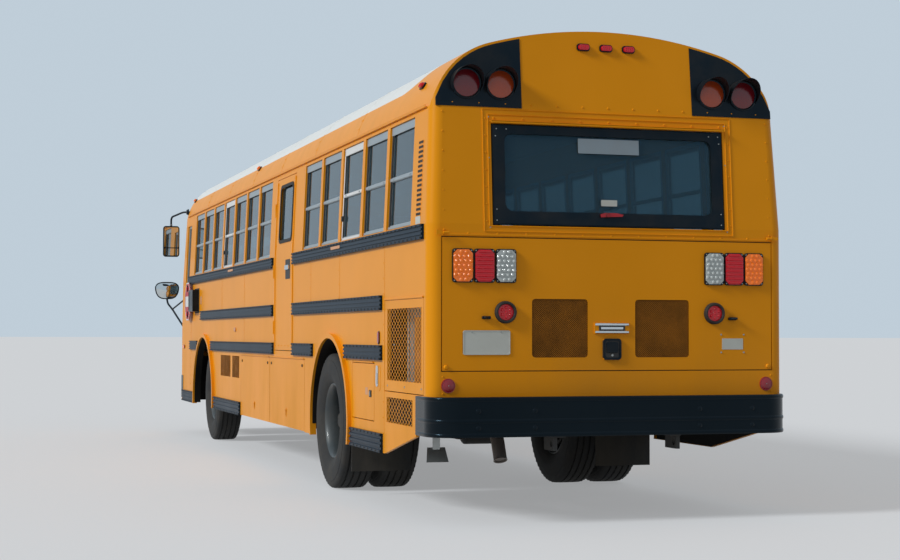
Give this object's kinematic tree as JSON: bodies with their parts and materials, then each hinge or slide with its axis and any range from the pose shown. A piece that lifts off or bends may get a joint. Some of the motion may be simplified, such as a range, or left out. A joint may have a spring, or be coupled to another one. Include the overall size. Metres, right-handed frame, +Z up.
{
  "type": "rear-engine school bus",
  "caption": "Flat-fronted yellow bus for pupils with a white roof, black side rails, twin rear wheels, rear engine door, opening doors, lids and steered front wheels.",
  "frame": {"origin": "on the road below the middle of the whole bus with its mirrors", "axes": "+X towards the front of the bus, +Y towards its left side, +Z up"},
  "size_m": [11.62, 2.968, 3.2409],
  "materials": {
    "body_yellow": "gloss enamel",
    "roof_white": "gloss enamel",
    "black_paint": "satin enamel",
    "chassis_black": "satin chassis paint",
    "window_aluminium": "anodised",
    "tinted_glass": "tinted",
    "clear_glass": "clear",
    "tyre_rubber": "road worn",
    "wheel_steel": "satin paint",
    "cast_parts": "cast",
    "floor_rubber": "ribbed",
    "seat_vinyl": "grained vinyl",
    "seat_steel": "satin paint",
    "dash_plastic": "grained",
    "lamp_red": "lens",
    "sign_red": "reflective sheeting",
    "hatch_white": "moulded",
    "flap_rubber": "moulded",
    "exhaust_steel": "aluminised"
  },
  "bodies": {
    "chassis_and_body": {"frame_rails": "chassis_black", "floor_deck": "floor_rubber", "floor_covers": "floor_rubber", "entry_steps": "floor_rubber", "left_side_wall": "body_yellow", "right_side_wall": "body_yellow", "rear_wall": "body_yellow", "rear_roof_cap": "body_yellow", "roof_shell": "roof_white", "front_roof_cap": "body_yellow", "front_wall": "body_yellow", "windshield": "clear_glass", "window_frames": "window_aluminium", "window_glass": "tinted_glass", "rub_rails": "black_paint", "front_bumper": "black_paint", "rear_bumper": "black_paint", "front_axle_beam": "cast_parts", "rear_axle": "cast_parts", "leaf_springs": "chassis_black", "powertrain": "cast_parts", "fuel_tank": "chassis_black", "exhaust": "exhaust_steel", "luggage_boxes": "chassis_black", "seat_frames": "seat_steel", "seat_pads": "seat_vinyl", "driver_seat": "seat_vinyl", "dashboard": "dash_plastic", "mirrors": "black_paint", "warning_lamps": "lamp_red", "mud_flaps": "flap_rubber"},
    "engine_door": {"engine_door": "body_yellow", "tail_lamps": "lamp_red"},
    "rear_exit_window": {"rear_exit_window": "black_paint", "rear_exit_glass": "tinted_glass"},
    "side_exit_door": {"side_exit_door": "body_yellow", "side_exit_glass": "tinted_glass"},
    "entry_door_front": {"entry_door_front": "black_paint", "entry_glass_front": "clear_glass"},
    "entry_door_rear": {"entry_door_rear": "black_paint", "entry_glass_rear": "clear_glass"},
    "luggage_door_left_rear": {"luggage_door_left_rear": "body_yellow"},
    "luggage_door_left_front": {"luggage_door_left_front": "body_yellow"},
    "luggage_door_right_rear": {"luggage_door_right_rear": "body_yellow"},
    "luggage_door_right_front": {"luggage_door_right_front": "body_yellow"},
    "engine_side_door": {"engine_side_door": "body_yellow"},
    "battery_door": {"battery_door": "body_yellow"},
    "stop_arm": {"stop_arm": "sign_red"},
    "rear_roof_hatch": {"rear_roof_hatch": "hatch_white"},
    "front_roof_hatch": {"front_roof_hatch": "hatch_white"},
    "knuckle_left": {"steering_knuckle_left": "cast_parts"},
    "knuckle_right": {"steering_knuckle_right": "cast_parts"},
    "front_wheel_left": {"front_wheel_left": "wheel_steel", "front_tyre_left": "tyre_rubber"},
    "front_wheel_right": {"front_wheel_right": "wheel_steel", "front_tyre_right": "tyre_rubber"},
    "rear_wheels_left": {"rear_wheels_left": "wheel_steel", "rear_tyres_left": "tyre_rubber"},
    "rear_wheels_right": {"rear_wheels_right": "wheel_steel", "rear_tyres_right": "tyre_rubber"}
  },
  "joints": [
    {"name": "steer_left", "type": "hinge", "parent": "chassis_and_body", "child": "knuckle_left", "pos_m": [3.41, 0.869, 0.521], "axis": [0, 0, 1], "range_deg": [-38, 38]},
    {"name": "front_spin_left", "type": "hinge", "parent": "knuckle_left", "child": "front_wheel_left", "pos_m": [3.41, 0.999, 0.521], "axis": [0, 1, 0], "continuous": true},
    {"name": "rear_spin_left", "type": "hinge", "parent": "chassis_and_body", "child": "rear_wheels_left", "pos_m": [-2.89, 1.07, 0.521], "axis": [0, 1, 0], "continuous": true},
    {"name": "steer_right", "type": "hinge", "parent": "chassis_and_body", "child": "knuckle_right", "pos_m": [3.41, -0.869, 0.521], "axis": [0, 0, 1], "range_deg": [-38, 38]},
    {"name": "front_spin_right", "type": "hinge", "parent": "knuckle_right", "child": "front_wheel_right", "pos_m": [3.41, -0.999, 0.521], "axis": [0, 1, 0], "continuous": true},
    {"name": "rear_spin_right", "type": "hinge", "parent": "chassis_and_body", "child": "rear_wheels_right", "pos_m": [-2.89, -1.07, 0.521], "axis": [0, 1, 0], "continuous": true},
    {"name": "engine_door_lift", "type": "hinge", "parent": "chassis_and_body", "child": "engine_door", "pos_m": [-5.694, 0, 1.798], "axis": [0, 1, 0], "range_deg": [0, 85]},
    {"name": "rear_exit_lift", "type": "hinge", "parent": "chassis_and_body", "child": "rear_exit_window", "pos_m": [-5.64969, 0, 2.518], "axis": [0, 1, 0], "range_deg": [0, 60]},
    {"name": "side_exit_swing", "type": "hinge", "parent": "chassis_and_body", "child": "side_exit_door", "pos_m": [-0.717, 1.223, 1.6], "axis": [0, 0, -1], "range_deg": [0, 100]},
    {"name": "entry_front_swing", "type": "hinge", "parent": "chassis_and_body", "child": "entry_door_front", "pos_m": [4.981, -1.223, 1.4], "axis": [0, 0, 1], "range_deg": [0, 90]},
    {"name": "entry_rear_swing", "type": "hinge", "parent": "chassis_and_body", "child": "entry_door_rear", "pos_m": [4.311, -1.223, 1.4], "axis": [0, 0, -1], "range_deg": [0, 90]},
    {"name": "luggage_door_left_rear_lift", "type": "hinge", "parent": "chassis_and_body", "child": "luggage_door_left_rear", "pos_m": [-1.2675, 1.223, 0.982], "axis": [1, 0, 0], "range_deg": [0, 80]},
    {"name": "luggage_door_left_front_lift", "type": "hinge", "parent": "chassis_and_body", "child": "luggage_door_left_front", "pos_m": [0.2575, 1.223, 0.982], "axis": [1, 0, 0], "range_deg": [0, 80]},
    {"name": "luggage_door_right_rear_lift", "type": "hinge", "parent": "chassis_and_body", "child": "luggage_door_right_rear", "pos_m": [-1.2675, -1.223, 0.982], "axis": [-1, 0, 0], "range_deg": [0, 80]},
    {"name": "luggage_door_right_front_lift", "type": "hinge", "parent": "chassis_and_body", "child": "luggage_door_right_front", "pos_m": [0.2575, -1.223, 0.982], "axis": [-1, 0, 0], "range_deg": [0, 80]},
    {"name": "engine_side_lift", "type": "hinge", "parent": "chassis_and_body", "child": "engine_side_door", "pos_m": [-5.11, 1.223, 1.419], "axis": [1, 0, 0], "range_deg": [0, 80]},
    {"name": "battery_door_swing", "type": "hinge", "parent": "chassis_and_body", "child": "battery_door", "pos_m": [-3.697, 1.223, 0.8], "axis": [0, 0, -1], "range_deg": [0, 90]},
    {"name": "stop_arm_swing", "type": "hinge", "parent": "chassis_and_body", "child": "stop_arm", "pos_m": [4.21, 1.259, 1.58], "axis": [0, 0, 1], "range_deg": [0, 90]},
    {"name": "rear_hatch_lift", "type": "hinge", "parent": "chassis_and_body", "child": "rear_roof_hatch", "pos_m": [-2.922, 0, 3.211], "axis": [0, 1, 0], "range_deg": [0, 75]},
    {"name": "front_hatch_lift", "type": "hinge", "parent": "chassis_and_body", "child": "front_roof_hatch", "pos_m": [1.88, 0, 3.211], "axis": [0, 1, 0], "range_deg": [0, 75]}
  ],
  "couplings": [
    {"joint": "steer_right", "follows": "steer_left", "ratio": 1},
    {"joint": "entry_rear_swing", "follows": "entry_front_swing", "ratio": 1}
  ]
}
